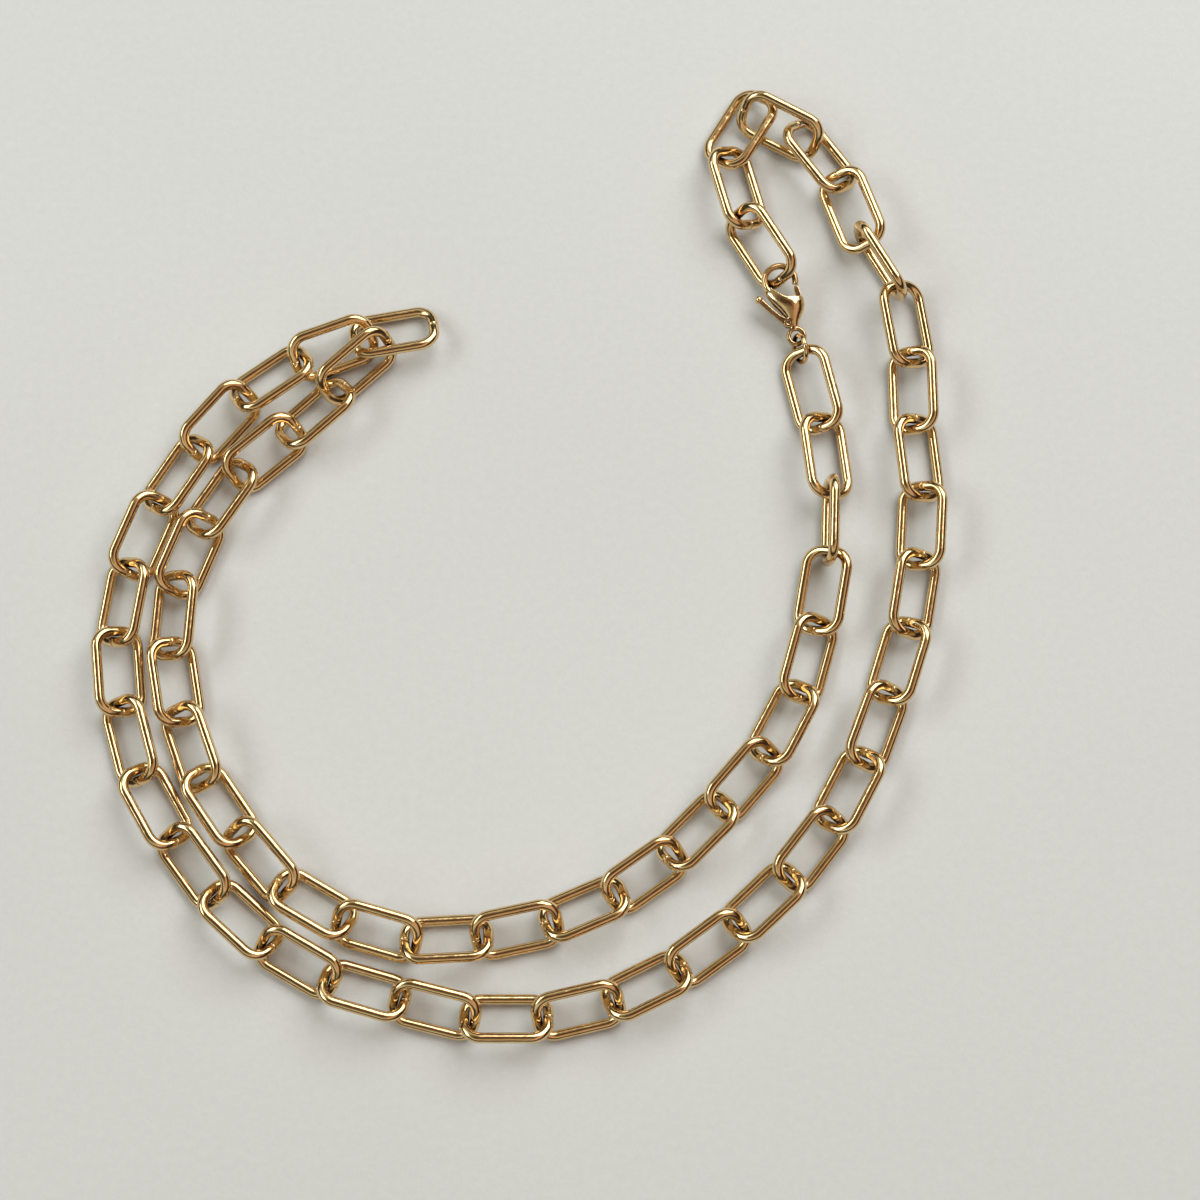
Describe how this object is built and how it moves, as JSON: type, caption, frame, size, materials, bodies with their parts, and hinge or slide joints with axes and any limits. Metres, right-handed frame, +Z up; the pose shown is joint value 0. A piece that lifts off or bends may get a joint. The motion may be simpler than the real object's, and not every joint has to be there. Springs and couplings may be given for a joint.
{
  "type": "chain necklace",
  "caption": "Necklace of elongated oval wire links, joined end to end and closed by a jump ring and a lobster clasp with a turning lever.",
  "frame": {"origin": "middle of the bounding box's bottom face, on the table that the necklace lies on", "axes": "+Z up from the table, +Y along the longer way of the loop, towards the doubled end with the clasp"},
  "size_m": [0.0978, 0.112, 0.0063],
  "materials": {
    "gold": "polished gold plate over brass",
    "spring_steel": "drawn spring wire"
  },
  "bodies": {
    "link_01": {"link_01": "gold"},
    "link_02": {"link_02": "gold"},
    "link_03": {"link_03": "gold"},
    "link_04": {"link_04": "gold"},
    "link_05": {"link_05": "gold"},
    "link_06": {"link_06": "gold"},
    "link_07": {"link_07": "gold"},
    "link_08": {"link_08": "gold"},
    "link_09": {"link_09": "gold"},
    "link_10": {"link_10": "gold"},
    "link_11": {"link_11": "gold"},
    "link_12": {"link_12": "gold"},
    "link_13": {"link_13": "gold"},
    "link_14": {"link_14": "gold"},
    "link_15": {"link_15": "gold"},
    "link_16": {"link_16": "gold"},
    "link_17": {"link_17": "gold"},
    "link_18": {"link_18": "gold"},
    "link_19": {"link_19": "gold"},
    "link_20": {"link_20": "gold"},
    "link_21": {"link_21": "gold"},
    "link_22": {"link_22": "gold"},
    "link_23": {"link_23": "gold"},
    "link_24": {"link_24": "gold"},
    "link_25": {"link_25": "gold"},
    "link_26": {"link_26": "gold"},
    "link_27": {"link_27": "gold"},
    "link_28": {"link_28": "gold"},
    "link_29": {"link_29": "gold"},
    "link_30": {"link_30": "gold"},
    "link_31": {"link_31": "gold"},
    "link_32": {"link_32": "gold"},
    "link_33": {"link_33": "gold"},
    "link_34": {"link_34": "gold"},
    "link_35": {"link_35": "gold"},
    "link_36": {"link_36": "gold"},
    "link_37": {"link_37": "gold"},
    "link_38_39": {"link_38_39": "gold"},
    "link_40_41": {"link_40_41": "gold"},
    "link_42_43": {"link_42_43": "gold"},
    "link_44_45": {"link_44_45": "gold"},
    "link_46_47": {"link_46_47": "gold"},
    "link_48": {"link_48": "gold"},
    "link_49": {"link_49": "gold"},
    "link_50": {"link_50": "gold"},
    "link_51": {"link_51": "gold"},
    "link_52": {"link_52": "gold"},
    "link_53": {"link_53": "gold"},
    "link_54": {"link_54": "gold"},
    "link_55": {"link_55": "gold"},
    "link_56": {"link_56": "gold"},
    "link_57": {"link_57": "gold"},
    "link_58": {"link_58": "gold"},
    "link_59": {"link_59": "gold"},
    "link_60": {"link_60": "gold"},
    "jump_ring": {"jump_ring": "gold"},
    "clasp_body": {"clasp_body": "gold", "lever_pin": "gold", "lever_spring": "spring_steel"},
    "clasp_lever": {"clasp_lever": "gold"}
  },
  "joints": [
    {"name": "joint_24_25", "type": "hinge", "parent": "link_25", "child": "link_24", "pos_m": [-0.01779, 0.02491, 0.00217], "axis": [-0.4384, 0.8988, 0], "range_deg": [0, 45]},
    {"name": "joint_23_24", "type": "hinge", "parent": "link_24", "child": "link_23", "pos_m": [-0.02282, 0.0185, 0.00255], "axis": [0.439, -0.4875, -0.7547], "range_deg": [-45, 0]},
    {"name": "joint_22_23", "type": "hinge", "parent": "link_23", "child": "link_22", "pos_m": [-0.02688, 0.01368, 0.00207], "axis": [0.6561, -0.7547, 0], "range_deg": [-45, 45]},
    {"name": "joint_21_22", "type": "hinge", "parent": "link_22", "child": "link_21", "pos_m": [-0.03339, 0.00842, 0.00199], "axis": [0.5391, -0.6425, -0.5446], "range_deg": [-45, 0]},
    {"name": "joint_20_21", "type": "hinge", "parent": "link_21", "child": "link_20", "pos_m": [-0.03686, 0.00295, 0.00199], "axis": [0.8829, -0.4695, 0], "range_deg": [-45, 45]},
    {"name": "joint_19_20", "type": "hinge", "parent": "link_20", "child": "link_19", "pos_m": [-0.0397, -0.00397, 0.00199], "axis": [-0.9744, 0.225, 0], "range_deg": [-45, 45]},
    {"name": "joint_18_19", "type": "hinge", "parent": "link_19", "child": "link_18", "pos_m": [-0.04013, -0.01242, 0.00199], "axis": [-0.8366, 0.0585, -0.5446], "range_deg": [-45, 0]},
    {"name": "joint_17_18", "type": "hinge", "parent": "link_18", "child": "link_17", "pos_m": [-0.03857, -0.02001, 0.00199], "axis": [0.8259, 0.1456, -0.5446], "range_deg": [-45, 0]},
    {"name": "joint_16_17", "type": "hinge", "parent": "link_17", "child": "link_16", "pos_m": [-0.03621, -0.02648, 0.00199], "axis": [0.887, 0.4617, 0], "range_deg": [-45, 45]},
    {"name": "joint_15_16", "type": "hinge", "parent": "link_16", "child": "link_15", "pos_m": [-0.03176, -0.03271, 0.00199], "axis": [0.788, 0.6157, 0], "range_deg": [-45, 45]},
    {"name": "joint_14_15", "type": "hinge", "parent": "link_15", "child": "link_14", "pos_m": [-0.0261, -0.03914, 0.00199], "axis": [-0.633, -0.5502, -0.5446], "range_deg": [-45, 0]},
    {"name": "joint_13_14", "type": "hinge", "parent": "link_14", "child": "link_13", "pos_m": [-0.02053, -0.04229, 0.00199], "axis": [-0.2312, -0.8062, -0.5446], "range_deg": [-45, 45]},
    {"name": "joint_12_13", "type": "hinge", "parent": "link_13", "child": "link_12", "pos_m": [-0.0115, -0.04488, 0.00199], "axis": [0.2312, 0.8062, 0.5446], "range_deg": [-45, 45]},
    {"name": "joint_11_12", "type": "hinge", "parent": "link_12", "child": "link_11", "pos_m": [-0.00492, -0.04442, 0.00199], "axis": [-0.1744, 0.8203, 0.5446], "range_deg": [-45, 45]},
    {"name": "joint_10_11", "type": "hinge", "parent": "link_11", "child": "link_10", "pos_m": [0.00427, -0.04247, 0.00199], "axis": [0.1744, -0.8203, -0.5446], "range_deg": [-45, 45]},
    {"name": "joint_09_10", "type": "hinge", "parent": "link_10", "child": "link_09", "pos_m": [0.01152, -0.03925, 0.00199], "axis": [0.3277, -0.772, 0.5446], "range_deg": [-45, 45]},
    {"name": "joint_08_09", "type": "hinge", "parent": "link_09", "child": "link_08", "pos_m": [0.01785, -0.03462, 0.00199], "axis": [0.481, -0.687, -0.5446], "range_deg": [-45, 45]},
    {"name": "joint_07_08", "type": "hinge", "parent": "link_08", "child": "link_07", "pos_m": [0.02325, -0.02902, 0.00199], "axis": [-0.593, 0.593, -0.5446], "range_deg": [-45, 45]},
    {"name": "joint_06_07", "type": "hinge", "parent": "link_07", "child": "link_06", "pos_m": [0.02837, -0.02304, 0.00199], "axis": [0.633, -0.5502, -0.5446], "range_deg": [-45, 45]},
    {"name": "joint_05_06", "type": "hinge", "parent": "link_06", "child": "link_05", "pos_m": [0.03199, -0.01591, 0.00199], "axis": [-0.7405, 0.3937, -0.5446], "range_deg": [-45, 45]},
    {"name": "joint_04_05", "type": "hinge", "parent": "link_05", "child": "link_04", "pos_m": [0.03404, -0.00819, 0.00199], "axis": [0.8062, -0.2312, -0.5446], "range_deg": [-45, 45]},
    {"name": "joint_03_04", "type": "hinge", "parent": "link_04", "child": "link_03", "pos_m": [0.03529, -0.00024, 0.00248], "axis": [0.8638, -0.1856, 0.4683], "range_deg": [-45, 45]},
    {"name": "joint_02_03", "type": "hinge", "parent": "link_03", "child": "link_02", "pos_m": [0.0357, 0.00639, 0.00253], "axis": [0.8552, 0.0688, -0.5138], "range_deg": [-45, 45]},
    {"name": "joint_01_02", "type": "hinge", "parent": "link_02", "child": "link_01", "pos_m": [0.03474, 0.0144, 0.00187], "axis": [0.8403, 0.2095, 0.5], "range_deg": [-45, 0]},
    {"name": "ring_on_link", "type": "hinge", "parent": "link_01", "child": "jump_ring", "pos_m": [0.03247, 0.02352, 0.00187], "axis": [0.8403, 0.2095, 0.5], "range_deg": [-22.5, 0]},
    {"name": "clasp_on_ring", "type": "hinge", "parent": "jump_ring", "child": "clasp_body", "pos_m": [0.03191, 0.02545, 0.00165], "axis": [0.9627, 0.2706, 0], "range_deg": [-22.5, 0]},
    {"name": "lever_pivot", "type": "hinge", "parent": "clasp_body", "child": "clasp_lever", "pos_m": [0.03096, 0.02699, 0.00181], "axis": [0.0255, -0.0906, 0.9956], "range_deg": [0, 18], "stiffness_Nm_per_rad": 0.003, "springref_deg": -11.46},
    {"name": "joint_25_26", "type": "hinge", "parent": "link_25", "child": "link_26", "pos_m": [-0.01771, 0.0255, 0.00215], "axis": [-0.29, 0.7969, 0.5299], "range_deg": [-45, 0]},
    {"name": "joint_26_27", "type": "hinge", "parent": "link_26", "child": "link_27", "pos_m": [-0.02654, 0.02229, 0.00215], "axis": [0.29, -0.7969, -0.5299], "range_deg": [0, 45]},
    {"name": "joint_27_28", "type": "hinge", "parent": "link_27", "child": "link_28", "pos_m": [-0.0331, 0.01757, 0.00199], "axis": [-0.481, 0.687, -0.5446], "range_deg": [0, 45]},
    {"name": "joint_28_29", "type": "hinge", "parent": "link_28", "child": "link_29", "pos_m": [-0.03769, 0.01212, 0.00199], "axis": [0.7986, -0.6018, 0], "range_deg": [-45, 45]},
    {"name": "joint_29_30", "type": "hinge", "parent": "link_29", "child": "link_30", "pos_m": [-0.04235, 0.00484, 0.00199], "axis": [-0.7034, 0.4568, -0.5446], "range_deg": [0, 45]},
    {"name": "joint_30_31", "type": "hinge", "parent": "link_30", "child": "link_31", "pos_m": [-0.04494, -0.00152, 0.00199], "axis": [0.8283, -0.1312, 0.5446], "range_deg": [-45, 0]},
    {"name": "joint_31_32", "type": "hinge", "parent": "link_31", "child": "link_32", "pos_m": [-0.04638, -0.00953, 0.00199], "axis": [0.8341, 0.0877, -0.5446], "range_deg": [0, 45]},
    {"name": "joint_32_33", "type": "hinge", "parent": "link_32", "child": "link_33", "pos_m": [-0.04539, -0.01888, 0.00199], "axis": [0.8341, 0.0877, -0.5446], "range_deg": [0, 45]},
    {"name": "joint_33_34", "type": "hinge", "parent": "link_33", "child": "link_34", "pos_m": [-0.04305, -0.02667, 0.00199], "axis": [-0.8062, -0.2312, -0.5446], "range_deg": [0, 45]},
    {"name": "joint_34_35", "type": "hinge", "parent": "link_34", "child": "link_35", "pos_m": [-0.03884, -0.03364, 0.00199], "axis": [0.7263, 0.4193, -0.5446], "range_deg": [-22.5, 0]},
    {"name": "joint_35_36", "type": "hinge", "parent": "link_35", "child": "link_36", "pos_m": [-0.03475, -0.03914, 0.00199], "axis": [0.5612, 0.6233, -0.5446], "range_deg": [0, 90]},
    {"name": "joint_36_37", "type": "hinge", "parent": "link_36", "child": "link_37", "pos_m": [-0.02828, -0.04506, 0.00199], "axis": [0.5878, 0.809, 0], "range_deg": [0, 15]},
    {"name": "joint_37_38", "type": "hinge", "parent": "link_37", "child": "link_38_39", "pos_m": [-0.02066, -0.04938, 0.00199], "axis": [0.4193, 0.7263, 0.5446], "range_deg": [-60, 0]},
    {"name": "joint_39_40", "type": "hinge", "parent": "link_38_39", "child": "link_40_41", "pos_m": [-0.00491, -0.05342, 0.00199], "axis": [-0.2029, -0.8138, -0.5446], "range_deg": [-45, 45]},
    {"name": "joint_41_42", "type": "hinge", "parent": "link_40_41", "child": "link_42_43", "pos_m": [0.01113, -0.05129, 0.00199], "axis": [-0.1887, 0.8172, 0.5446], "range_deg": [-45, 45]},
    {"name": "joint_43_44", "type": "hinge", "parent": "link_42_43", "child": "link_44_45", "pos_m": [0.02489, -0.04273, 0.00199], "axis": [0.493, -0.6785, -0.5446], "range_deg": [-45, 45]},
    {"name": "joint_45_46", "type": "hinge", "parent": "link_44_45", "child": "link_46_47", "pos_m": [0.03489, -0.03189, 0.00199], "axis": [-0.7405, 0.3937, -0.5446], "range_deg": [-45, 45]},
    {"name": "joint_47_48", "type": "hinge", "parent": "link_46_47", "child": "link_48", "pos_m": [0.04209, -0.01612, 0.00199], "axis": [-0.783, 0.3006, 0.5446], "range_deg": [-45, 45]},
    {"name": "joint_48_49", "type": "hinge", "parent": "link_48", "child": "link_49", "pos_m": [0.04451, -0.00852, 0.00199], "axis": [0.7976, -0.2592, 0.5446], "range_deg": [-45, 45]},
    {"name": "joint_49_50", "type": "hinge", "parent": "link_49", "child": "link_50", "pos_m": [0.04582, -0.00056, 0.00199], "axis": [-0.8259, 0.1456, 0.5446], "range_deg": [-45, 45]},
    {"name": "joint_50_51", "type": "hinge", "parent": "link_50", "child": "link_51", "pos_m": [0.04633, 0.00613, 0.00199], "axis": [0.8341, 0.0877, -0.5446], "range_deg": [-45, 45]},
    {"name": "joint_51_52", "type": "hinge", "parent": "link_51", "child": "link_52", "pos_m": [0.04535, 0.01548, 0.00199], "axis": [0.8341, 0.0877, -0.5446], "range_deg": [-45, 45]},
    {"name": "joint_52_53", "type": "hinge", "parent": "link_52", "child": "link_53", "pos_m": [0.04554, 0.02213, 0.00187], "axis": [0.8555, 0.1852, -0.4836], "range_deg": [-45, 45]},
    {"name": "joint_53_54", "type": "hinge", "parent": "link_53", "child": "link_54", "pos_m": [0.04391, 0.03136, 0.00253], "axis": [-0.8555, -0.1852, 0.4836], "range_deg": [-22.5, 0]},
    {"name": "joint_54_55", "type": "hinge", "parent": "link_54", "child": "link_55", "pos_m": [0.03932, 0.03817, 0.00315], "axis": [-0.0299, -0.018, 0.9994], "range_deg": [-90, 0]},
    {"name": "joint_55_56", "type": "hinge", "parent": "link_55", "child": "link_56", "pos_m": [0.03702, 0.04515, 0.00182], "axis": [-0.8185, -0.3328, -0.4683], "range_deg": [0, 90]},
    {"name": "joint_56_57", "type": "hinge", "parent": "link_56", "child": "link_57", "pos_m": [0.03215, 0.05119, 0.00199], "axis": [-0.6698, -0.5047, 0.5446], "range_deg": [0, 18.75]},
    {"name": "joint_57_58", "type": "hinge", "parent": "link_57", "child": "link_58", "pos_m": [0.02612, 0.05315, 0.0024], "axis": [-0.3489, -0.6562, -0.6691], "range_deg": [0, 18.75]},
    {"name": "joint_58_59", "type": "hinge", "parent": "link_58", "child": "link_59", "pos_m": [0.02388, 0.04796, 0.0021], "axis": [0.8062, 0.2312, -0.5446], "range_deg": [0, 18.75]},
    {"name": "joint_59_60", "type": "hinge", "parent": "link_59", "child": "link_60", "pos_m": [0.02533, 0.04018, 0.0026], "axis": [0.6302, 0.3938, 0.6691], "range_deg": [-75, 0]}
  ],
  "couplings": [
    {"joint": "ring_on_link", "follows": "joint_01_02", "ratio": 0.5},
    {"joint": "clasp_on_ring", "follows": "joint_01_02", "ratio": 0.5},
    {"joint": "joint_34_35", "follows": "joint_35_36", "ratio": -0.25},
    {"joint": "joint_36_37", "follows": "joint_37_38", "ratio": -0.25},
    {"joint": "joint_53_54", "follows": "joint_55_56", "ratio": -0.25},
    {"joint": "joint_54_55", "follows": "joint_55_56", "ratio": -1},
    {"joint": "joint_56_57", "follows": "joint_59_60", "ratio": -0.25},
    {"joint": "joint_57_58", "follows": "joint_59_60", "ratio": -0.25},
    {"joint": "joint_58_59", "follows": "joint_59_60", "ratio": -0.25}
  ]
}
